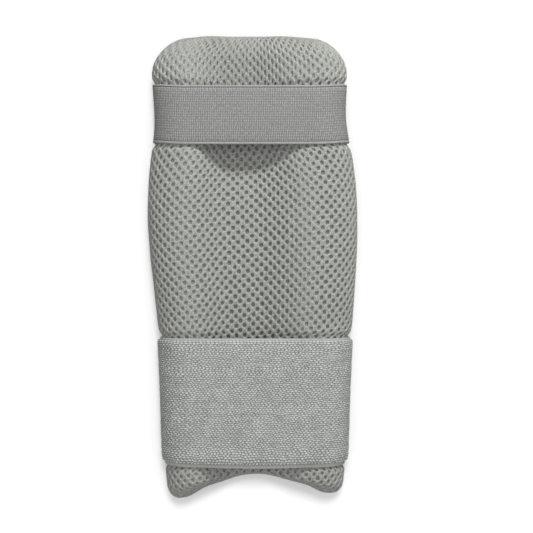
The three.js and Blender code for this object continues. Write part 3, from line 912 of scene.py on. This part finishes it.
def loop_relief(settings, pile):
    """The loops of the pile: staggered rows of rounded bumps, each leaning to one side and of its own height,
    in rows that wander a little. The outermost row at the arched end is scalloped, and the hem there slips
    and sags over the trough."""
    first, last = pile

    def relief(count, y, _):
        """Height and slide at count places round and y across: a loop's height is a sine to a power."""
        rows = last - first
        rng = np.random.default_rng(11)
        across = np.arange(rows) / LOOP_ROW_SAMPLES
        row = np.floor(across).astype(int)
        around = np.arange(count) / LOOP_SAMPLES
        turn = around[:, None] * 2 * math.pi / LOOPS_ROUND
        sway = wave_sum(SWAY_WAVES, turn, row) + rng.normal(0, SWAY_SPREAD, rows)
        place = around[:, None] + 0.5 * (row % 2)[None, :] + settings.loop_lean * across[None, :] + sway
        part = place - np.floor(place)
        loop = np.floor(place).astype(int) % LOOPS_ROUND
        table = rng.uniform(SHORTEST_LOOP, 1.0, (LOOPS_ROUND, row.max() + 1))
        on_top = np.where(np.arange(rows) % LOOP_ROW_SAMPLES == 0, LOOP_FOOT, 1.0)[None, :]
        proud = np.zeros((count, len(y)))
        bumps = np.sin(math.pi * part) ** LOOP_FULLNESS * on_top
        proud[:, first:last] = settings.loop_height * table[loop, row[None, :]] * bumps
        wander = wave_sum(WANDER_WAVES, turn, across)
        inside = smooth(np.minimum(across, across[-1] - across) / 2)
        scallop = np.sin(math.pi * (around % 1.0))[:, None] * (across < SCALLOPED_ROWS)
        over_arm = np.maximum(-np.cos(turn), 0.0) ** 2
        near_arch = 1.0 - smooth((y - LOWER_BAND.low) / HEM_REACH)
        slide = -(settings.hem_slip + settings.hem_sag * over_arm) * near_arch[None, :]
        tilt = settings.loop_tilt * (0.5 - part) * inside
        slide[:, first:last] += tilt + settings.row_wander * wander * inside - settings.scallop * scallop
        return proud, slide

    return relief


# Materials: how steeply the yarns cross, noise scales to the metre, drift of the ribs and heights of bumps

YARN_SLANT = 0.94
KNIT_FLECKS = 950.0
KNIT_TONES = 60.0
WOVEN_DRIFTS = (300.0, 500.0)
WOVEN_FLECKS = (1500.0, 560.0)
RIB_DRIFT = 0.0008
PILE_FIBRES = 900.0
PILE_TONES = 90.0
YARN_BUMP = 0.00015
WEAVE_BUMP = 0.0002
FIBRE_BUMP = 0.0003


class Pattern:
    """A number that a material works out at each place: a socket of its node tree. It is added, subtracted
    and multiplied like a plain number, each time by one maths node."""

    def __init__(self, socket):
        self.socket = socket

    def __add__(self, other):
        return maths("ADD", self, other)

    def __sub__(self, other):
        return maths("SUBTRACT", self, other)

    def __rsub__(self, other):
        return maths("SUBTRACT", other, self)

    def __mul__(self, other):
        return maths("MULTIPLY", self, other)

    __rmul__ = __mul__

    def held(self):
        """The same number, held between 0 and 1."""
        return maths("MINIMUM", maths("MAXIMUM", self, 0.0), 1.0)


def put(value, socket):
    """Gives a socket a pattern, another socket, a number or a colour of three parts."""
    if isinstance(value, Pattern):
        value = value.socket
    if isinstance(value, bpy.types.NodeSocket):
        socket.id_data.links.new(value, socket)
    elif isinstance(value, (int, float)):
        socket.default_value = value
    else:
        socket.default_value = (*value[:3], 1.0)


def maths(operation, *values):
    """One maths node of patterns and plain numbers."""
    tree = next(value.socket.id_data for value in values if isinstance(value, Pattern))
    node = tree.nodes.new("ShaderNodeMath")
    node.operation = operation
    for slot, value in enumerate(values):
        put(value, node.inputs[slot])
    return Pattern(node.outputs[0])


def mixed(share, first, second):
    """The socket of a mix of two colours, by a share from 0 to 1."""
    node = share.socket.id_data.nodes.new("ShaderNodeMix")
    node.data_type = "RGBA"
    put(share, node.inputs["Factor"])
    put(first, node.inputs[6])
    put(second, node.inputs[7])
    return node.outputs[2]


def noise(vector, scale, detail=1.0):
    """Soft noise at a vector socket, between 0 and 1, at so many to the vector's unit."""
    node = vector.id_data.nodes.new("ShaderNodeTexNoise")
    node.inputs["Scale"].default_value = scale
    node.inputs["Detail"].default_value = detail
    put(vector, node.inputs["Vector"])
    return Pattern(node.outputs["Fac"])


def stretched_noise(u, v, scales):
    """Soft noise on the fabric's map, with a scale of its own across and along."""
    join = u.socket.id_data.nodes.new("ShaderNodeCombineXYZ")
    put(u * scales[0], join.inputs["X"])
    put(v * scales[1], join.inputs["Y"])
    return noise(join.outputs[0], 1.0)


def waves(value, pitch):
    """A wave between 0 and 1 that repeats every pitch of the value: half of its sine, plus a half."""
    return 0.5 * maths("SINE", value * (2 * math.pi / pitch)) + 0.5


def cloth_material(name, roughness, sheen):
    """A new matt material, its node tree and its shader."""
    material = bpy.data.materials.new(name)
    material.use_nodes = True
    shader = material.node_tree.nodes["Principled BSDF"]
    shader.inputs["Roughness"].default_value = roughness
    shader.inputs["Specular IOR Level"].default_value = 0.25
    shader.inputs["Sheen Weight"].default_value = sheen
    shader.inputs["Sheen Roughness"].default_value = 0.5
    return material, material.node_tree, shader


def fabric_places(tree):
    """The two lengths of the fabric's own map, in metres, and the map and object coordinates."""
    uv = tree.nodes.new("ShaderNodeUVMap")
    uv.uv_map = "fabric"
    split = tree.nodes.new("ShaderNodeSeparateXYZ")
    put(uv.outputs["UV"], split.inputs[0])
    place = tree.nodes.new("ShaderNodeTexCoord")
    return Pattern(split.outputs["X"]), Pattern(split.outputs["Y"]), uv.outputs["UV"], place.outputs["Object"]


def carried(tree, name):
    """A number that the mesh carries at its points."""
    node = tree.nodes.new("ShaderNodeAttribute")
    node.attribute_name = name
    return Pattern(node.outputs["Fac"])


def bump(shader, height, distance, strength):
    """Bumps on the shader's surface where the height pattern rises."""
    node = shader.id_data.nodes.new("ShaderNodeBump")
    node.inputs["Distance"].default_value = distance
    node.inputs["Strength"].default_value = strength
    put(height, node.inputs["Height"])
    put(node.outputs["Normal"], shader.inputs["Normal"])


def knit_material(settings):
    """Spacer mesh: fine yarns that cross over the threads, light flecks, painted shade in the holes, a
    painted highlight on the threads round them, and slow changes of tone.

    The light is a fifth of the yarns' waves and four fifths of the flecks, which are four times a noise less
    one and a half. A quarter of a slow noise shades it. A thread round a hole takes the painted highlight's
    colour by 1.6 times its painted shading, whose sign is turned, and a hole takes the painted shade's
    colour."""
    material, tree, shader = cloth_material("knitted_spacer_mesh", roughness=0.85, sheen=0.03)
    u, v, fabric, place = fabric_places(tree)
    hole_shading = carried(tree, "hole_shading")
    slant = YARN_SLANT * v
    yarn = maths("MAXIMUM", waves(u + slant, settings.yarn_pitch), waves(u - slant, settings.yarn_pitch))
    fleck = (4.0 * noise(fabric, KNIT_FLECKS) - 1.5).held()
    lit = mixed((0.2 * yarn + 0.8 * fleck).held(), settings.yarn_shade, settings.yarn_light)
    slow = mixed(0.25 * noise(place, KNIT_TONES, detail=3.0), lit, settings.yarn_shade)
    # Painted highlight on the threads round the holes, where the painted shading is below 0, and painted
    # shade in the holes, where it is above 0.
    thread = mixed((-1.6 * hole_shading).held(), slow, settings.thread)
    put(mixed(maths("MAXIMUM", hole_shading, 0.0), thread, settings.hole_shading), shader.inputs["Base Color"])
    bump(shader, yarn + 0.8 * fleck, YARN_BUMP, strength=0.8)
    return material


def woven_material(settings):
    """Woven elastic: fine ribs across the band, crossed by lines along it, with a groove painted with shade
    and a row of stitches beside each selvedge.

    The ribs' waves, whose place a noise drifts, are multiplied by twice the fleck less 0.3, and by 0.8 of the
    lines' waves plus 0.4."""
    material, tree, shader = cloth_material("ribbed_woven_elastic", roughness=0.8, sheen=0.0)
    u, v, _, _ = fabric_places(tree)
    drift = RIB_DRIFT * stretched_noise(u, v, WOVEN_DRIFTS)
    fleck = stretched_noise(u, v, WOVEN_FLECKS)
    ribs = waves(u + drift, settings.rib_pitch) * (2.0 * fleck - 0.3)
    weave = (ribs * (0.8 * waves(v, settings.line_pitch) + 0.4)).held()
    from_low = v - (UPPER_BAND.low + settings.lower_selvedge - settings.groove_width)
    from_high = (UPPER_BAND.high - settings.upper_selvedge + settings.groove_width) - v
    inwards = maths("MINIMUM", from_low, from_high)
    on_body = maths("GREATER_THAN", inwards, 0.0)
    shaded_groove = on_body * maths("LESS_THAN", inwards, 1.5 * settings.groove_width)
    row = maths("LESS_THAN", maths("ABSOLUTE", inwards - STITCH_PLACE), STITCH_LENGTH / 2)
    stitches = row * waves(u, settings.stitch_pitch) * fleck
    body = mixed(maths("MAXIMUM", weave + 0.1, stitches), settings.body_shade, settings.body_light)
    edge = mixed(fleck, settings.selvedge, settings.body_light)
    cloth = mixed(on_body, edge, body)
    # Painted shade in the grooves beside the selvedges, in the colour between the ribs.
    put(mixed(shaded_groove, cloth, settings.body_shade), shader.inputs["Base Color"])
    bump(shader, weave * on_body + 0.3 * fleck, WEAVE_BUMP, strength=0.8)
    return material


def pile_material(settings):
    """Looped pile: painted light on the loop tops, painted shade in the gaps, fine fibres and slow changes of
    tone.

    The painted light is the fibres' noise plus 0.9, times how far a point stands proud to the power 0.8."""
    material, tree, shader = cloth_material("looped_pile_elastic", roughness=0.9, sheen=0.1)
    _, v, fabric, place = fabric_places(tree)
    fibre = noise(fabric, PILE_FIBRES, detail=3.0)
    # Painted light and shade by height: the tops of the loops are painted light, the gaps between them
    # painted shade.
    light = ((fibre + 0.9) * maths("POWER", carried(tree, "proud"), 0.8)).held()
    loops = mixed(light, settings.pile_shade, settings.pile_light)
    above = maths("GREATER_THAN", v, LOWER_BAND.low + settings.lower_hem_width)
    below = maths("LESS_THAN", v, LOWER_BAND.high - settings.upper_hem_width)
    cloth = mixed(above * below, mixed(fibre, settings.hem, settings.hem_light), loops)
    slow = noise(place, PILE_TONES, detail=2.0)
    put(mixed(0.3 * slow, cloth, settings.pile_shade), shader.inputs["Base Color"])
    bump(shader, fibre, FIBRE_BUMP, strength=0.7)
    return material


def floor_material(settings):
    """A white sweep lit a little from below."""
    material = bpy.data.materials.new("white_sweep")
    material.use_nodes = True
    shader = material.node_tree.nodes["Principled BSDF"]
    shader.inputs["Roughness"].default_value = 0.9
    shader.inputs["Specular IOR Level"].default_value = 0.1
    shader.inputs["Emission Strength"].default_value = settings.floor_glow
    put(settings.floor, shader.inputs["Base Color"])
    put(settings.floor, shader.inputs["Emission Color"])
    return material


# Settings that a user would change

def length_property(name, description, default):
    """A length in metres."""
    return bpy.props.FloatProperty(name=name, description=description, default=default, unit="LENGTH",
                                   precision=5)


def number_property(name, description, default):
    """A plain number."""
    return bpy.props.FloatProperty(name=name, description=description, default=default)


def angle_property(name, description, degrees):
    """An angle, given in degrees."""
    return bpy.props.FloatProperty(name=name, description=description, default=math.radians(degrees),
                                   subtype="ANGLE", unit="ROTATION")


def colour_property(name, description, default):
    """A colour in linear light."""
    return bpy.props.FloatVectorProperty(name=name, description=description, default=default, size=3,
                                         subtype="COLOR", min=0.0, max=1.0)


class KnitSettings(bpy.types.PropertyGroup):
    """The knitted cover and the padding under it"""

    column_pitch: length_property("Column pitch", "Distance between holes round the guard", 0.0048)
    row_pitch: length_property("Row pitch", "Distance between staggered rows of holes", 0.00285)
    hole_width: length_property("Hole width", "Width of a hole across the guard", 0.00205)
    hole_height: length_property("Hole height", "Height of a hole along the guard", 0.0026)
    hole_depth: length_property("Hole depth", "Depth of a hole below the threads", 0.0013)
    web_drop: length_property("Web drop", "How far the web lies below the threads round the holes", 0.00016)
    seam_fade: length_property("Seam fade", "Length over which the holes flatten out at an end seam", 0.003)
    yarn_pitch: length_property("Yarn pitch", "Distance between neighbouring yarns", 0.0005)
    # Eases the painted shade in the holes at the square end, and most of that at the arched end; it changes
    # only their colour.
    end_hole_shade_easing: number_property("End filling", "How much the foam fills the holes at the square end", 0.75)
    end_stretch: number_property("End stretch", "How much longer the holes are at the square end", 0.3)
    trough_gather: number_property("Trough gather", "How much closer columns stand in the trough's end", 0.14)
    swell_cap: length_property("Swell cap", "How far the padding may swell", 0.0016)
    # Makes the holes over the crests shallower, and their painted shade lighter with them.
    crest_filling: number_property("Crest filling", "How much the foam fills the holes over the crests", 0.35)
    swell_pressure: number_property("Swell pressure", "Pressure inside the padding", 40.0)
    swell_columns: bpy.props.IntProperty(name="Swell columns", default=96,
                                         description="Columns of the grid that the swelling is worked out on")
    yarn_light: colour_property("Yarn", "Colour of the yarns", (0.50, 0.51, 0.475))
    # A painted highlight on the threads round the holes.
    thread: colour_property("Thread", "Colour of the threads round the holes", (0.60, 0.61, 0.575))
    yarn_shade: colour_property("Yarn shade", "Colour between the yarns", (0.22, 0.226, 0.207))
    # Painted shade inside the holes.
    hole_shading: colour_property("Hollow", "Colour inside the holes", (0.215, 0.222, 0.203))


class WovenSettings(bpy.types.PropertyGroup):
    """The narrow woven band"""

    lower_selvedge: length_property("Lower selvedge", "Width of the woven edge nearer the middle", 0.0018)
    upper_selvedge: length_property("Upper selvedge", "Width of the woven edge at the square end", 0.0013)
    groove_width: length_property("Groove width", "Width of the groove beside each woven edge", 0.00035)
    groove_depth: length_property("Groove depth", "Depth of that groove", 0.0003)
    rib_pitch: length_property("Rib pitch", "Distance between the ribs across the band", 0.00104)
    stitch_pitch: length_property("Stitch pitch", "Distance between stitches beside each woven edge", 0.0022)
    line_pitch: length_property("Line pitch", "Distance between the lines along the band", 0.00143)
    body_light: colour_property("Rib", "Colour of the ribs", (0.453, 0.455, 0.441))
    body_shade: colour_property("Rib shade", "Colour between the ribs", (0.13, 0.131, 0.126))
    selvedge: colour_property("Selvedge", "Colour of the woven edges", (0.24, 0.24, 0.23))


class PileSettings(bpy.types.PropertyGroup):
    """The wide looped band"""

    loop_row_pitch: length_property("Loop row pitch", "Distance between rows of loops", 0.00118)
    loop_height: length_property("Loop height", "Height of the loops", 0.0009)
    loop_lean: number_property("Loop lean", "How far each row leans, in loops", 0.06)
    loop_tilt: length_property("Loop tilt", "How much lower each loop's far end lies", 0.00055)
    row_wander: length_property("Row wander", "How far the rows of loops wander", 0.00017)
    scallop: length_property("Scallop", "How far each loop stands out at the arched end", 0.0005)
    hem_slip: length_property("Hem slip", "How far the edge at the arched end has slipped", 0.0006)
    hem_sag: length_property("Hem sag", "How much further it sags where it spans the trough", 0.0011)
    hem_thickness: length_property("Hem thickness", "Thickness of the plain woven edges", 0.001)
    lower_hem_width: length_property("Lower hem width", "Width of the plain edge at the arched end", 0.0022)
    upper_hem_width: length_property("Upper hem width", "Width of the plain edge nearer the middle", 0.0012)
    lower_pile_rounding: length_property("Lower rounding", "How far the pile rounds at the arch", 0.0036)
    upper_pile_rounding: length_property("Upper rounding", "How far it rounds nearer the middle", 0.0016)
    # Painted light on the loop tops and painted shade in the gaps between them
    pile_light: colour_property("Loop", "Colour of the loops", (0.77, 0.79, 0.75))
    pile_shade: colour_property("Loop shade", "Colour between the loops", (0.08, 0.083, 0.078))
    hem: colour_property("Hem", "Colour of the plain woven edges", (0.40, 0.406, 0.39))
    hem_light: colour_property("Hem threads", "Colour of the light threads in them", (0.56, 0.565, 0.55))


class StudioSettings(bpy.types.PropertyGroup):
    """The camera, the lights and the sweep"""

    camera_place: bpy.props.FloatVectorProperty(name="Camera", description="Place of the camera above",
                                                default=(0.00815, 0.0, 0.641), subtype="TRANSLATION",
                                                unit="LENGTH")
    half_angle: angle_property("Half angle", "Half of the camera's field of view", 13.98)
    key_azimuth: angle_property("Key direction", "Turn of the main light from the square end's side", 17)
    key_height: angle_property("Key height", "How high the main light stands", 35)
    key_distance: length_property("Key distance", "Distance of the main light", 0.85)
    key_power: number_property("Key power", "Power of the main light", 5.0)
    fill_power: number_property("Fill power", "Power of the soft light above", 11.0)
    sweep_power: number_property("Sweep power", "Power of the sweep's own lamp", 19.0)
    sky: number_property("Sky", "Strength of the even light from all round", 0.34)
    floor_glow: number_property("Floor glow", "Light from under the white sweep", 0.12)
    floor: colour_property("Floor", "Colour of the sweep", (0.9, 0.9, 0.9))


# One operator for each piece and one for the studio

class ARMGUARD_OT_mesh_pad(bpy.types.Operator):
    """Build the padded trough's knitted cover"""

    bl_idname = "arm_guard.mesh_pad"
    bl_label = "Knitted pad"

    def execute(self, context):
        settings = context.scene.guard_knit
        chart = pad_chart(settings)
        cover = knitted_cover(settings, chart)
        normals = vertex_normals(cover)
        material = knit_material(settings)
        for name, chosen in (("knit_arm_side", cover.on_arm_side), ("knit_outer_side", ~cover.on_arm_side)):
            piece = cover_piece(name, cover, normals, chosen, material)
            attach(piece, "root")
            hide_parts("mesh_pad")
        return {"FINISHED"}


class ARMGUARD_OT_upper_strap(bpy.types.Operator):
    """Build the narrow woven band"""

    bl_idname = "arm_guard.upper_strap"
    bl_label = "Narrow band"

    def execute(self, context):
        settings = context.scene.guard_woven
        y, lift = upper_face(settings)
        piece, girth = band_piece("woven_band", UPPER_BAND, y, lift, WOVEN_ROUND, upper_relief,
                                  woven_material(settings))
        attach(piece, "root")
        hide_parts("upper_strap")
        return {"FINISHED"}


class ARMGUARD_OT_lower_strap(bpy.types.Operator):
    """Build the wide looped band"""

    bl_idname = "arm_guard.lower_strap"
    bl_label = "Wide band"

    def execute(self, context):
        settings = context.scene.guard_pile
        y, lift, pile = lower_face(settings)
        piece, girth = band_piece("looped_band", LOWER_BAND, y, lift, LOOPS_ROUND * LOOP_SAMPLES,
                                  loop_relief(settings, pile), pile_material(settings))
        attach(piece, "root")
        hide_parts("lower_strap")
        return {"FINISHED"}


# The studio: half the sweep's side, sizes of the lamps, and places of the two whose place isn't a setting

SWEEP_REACH = 3.0
KEY_SIZE = 0.14
FILL_SIZE = 1.6
FILL_PLACE = (0.1, -0.1, 1.6)
SWEEP_LAMP_SIZE = 0.45
SWEEP_LAMP_PLACE = (0.1, 0.78, 1.83)
SENSOR_WIDTH = 36.0


def area_light(name, place, size, power):
    """A square soft light at a place, turned to the origin."""
    light = bpy.data.lights.new(name, "AREA")
    light.size = size
    light.energy = power
    lamp = bpy.data.objects.new(name, light)
    lamp.location = place
    across = math.hypot(place[0], place[1])
    lamp.rotation_euler = (math.atan2(across, place[2]), 0.0, math.atan2(place[0], -place[1]))
    bpy.context.scene.collection.objects.link(lamp)
    return lamp


def sweep_share(lamp, floor, state):
    """Leaves the sweep out of a lamp's light (EXCLUDE) or keeps the light for it alone (INCLUDE)."""
    lit = bpy.data.collections.new(lamp.name + "_reach")
    lit.objects.link(floor)
    lit.collection_objects[0].light_linking.link_state = state
    lamp.light_linking.receiver_collection = lit


class ARMGUARD_OT_studio(bpy.types.Operator):
    """Build the white sweep, the lights and the camera"""

    bl_idname = "arm_guard.studio"
    bl_label = "Studio"

    def execute(self, context):
        settings = context.scene.guard_studio
        corners = SWEEP_REACH * np.array([(-1, -1, 0), (1, -1, 0), (1, 1, 0), (-1, 1, 0)])
        floor = new_mesh("sweep", corners, np.arange(4), np.array([4]))
        floor.data.materials.append(floor_material(settings))
        # The sweep throws no light back up at the guard, whose sides are dark in the photo.
        floor.visible_diffuse = False
        flat = settings.key_distance * math.cos(settings.key_height)
        key_place = (flat * math.sin(settings.key_azimuth), flat * math.cos(settings.key_azimuth),
                     settings.key_distance * math.sin(settings.key_height))
        key = area_light("key", key_place, KEY_SIZE * settings.key_distance, settings.key_power)
        # The sweep has a higher lamp of its own, so that only the shade close by the guard shows on it.
        sweep_share(key, floor, "EXCLUDE")
        sweep_lamp = area_light("sweep_light", SWEEP_LAMP_PLACE, SWEEP_LAMP_SIZE, settings.sweep_power)
        sweep_share(sweep_lamp, floor, "INCLUDE")
        area_light("fill", FILL_PLACE, FILL_SIZE, settings.fill_power)
        world = bpy.data.worlds.new("even_sky")
        world.use_nodes = True
        world.node_tree.nodes["Background"].inputs["Color"].default_value = (1.0, 1.0, 1.0, 1.0)
        world.node_tree.nodes["Background"].inputs["Strength"].default_value = settings.sky
        context.scene.world = world
        context.scene.view_settings.view_transform = "Standard"
        lens = bpy.data.cameras.new("camera")
        lens.sensor_width = SENSOR_WIDTH
        lens.lens = SENSOR_WIDTH / 2 / math.tan(settings.half_angle)
        camera = bpy.data.objects.new("camera", lens)
        camera.location = settings.camera_place
        context.scene.collection.objects.link(camera)
        context.scene.camera = camera
        return {"FINISHED"}


class ARMGUARD_PT_sidebar(bpy.types.Panel):
    """Lists the arm guard's operators and their settings"""

    bl_idname = "ARMGUARD_PT_sidebar"
    bl_label = "Arm guard"
    bl_space_type = "VIEW_3D"
    bl_region_type = "UI"
    bl_category = "Arm guard"

    def draw(self, context):
        for settings, operator in BUILDERS.items():
            box = self.layout.box()
            box.operator(operator)
            group = getattr(context.scene, settings)
            for name in group.__annotations__:
                box.prop(group, name)


BUILDERS = {"guard_knit": "arm_guard.mesh_pad", "guard_woven": "arm_guard.upper_strap",
            "guard_pile": "arm_guard.lower_strap", "guard_studio": "arm_guard.studio"}
GROUPS = {"guard_knit": KnitSettings, "guard_woven": WovenSettings, "guard_pile": PileSettings,
          "guard_studio": StudioSettings}
CLASSES = (*GROUPS.values(), ARMGUARD_OT_mesh_pad, ARMGUARD_OT_upper_strap, ARMGUARD_OT_lower_strap,
           ARMGUARD_OT_studio, ARMGUARD_PT_sidebar)


def register():
    """Makes the operators, the panel and the scene's settings known to Blender."""
    for made in CLASSES:
        bpy.utils.register_class(made)
    for name, group in GROUPS.items():
        setattr(bpy.types.Scene, name, bpy.props.PointerProperty(type=group))


def unregister():
    """Takes them away again."""
    for name in GROUPS:
        delattr(bpy.types.Scene, name)
    for made in reversed(CLASSES):
        bpy.utils.unregister_class(made)


def main():
    """Builds the arm guard and its studio."""
    register()
    bpy.ops.arm_guard.mesh_pad()
    bpy.ops.arm_guard.upper_strap()
    bpy.ops.arm_guard.lower_strap()
    bpy.ops.arm_guard.studio()


if __name__ == "__main__":
    main()
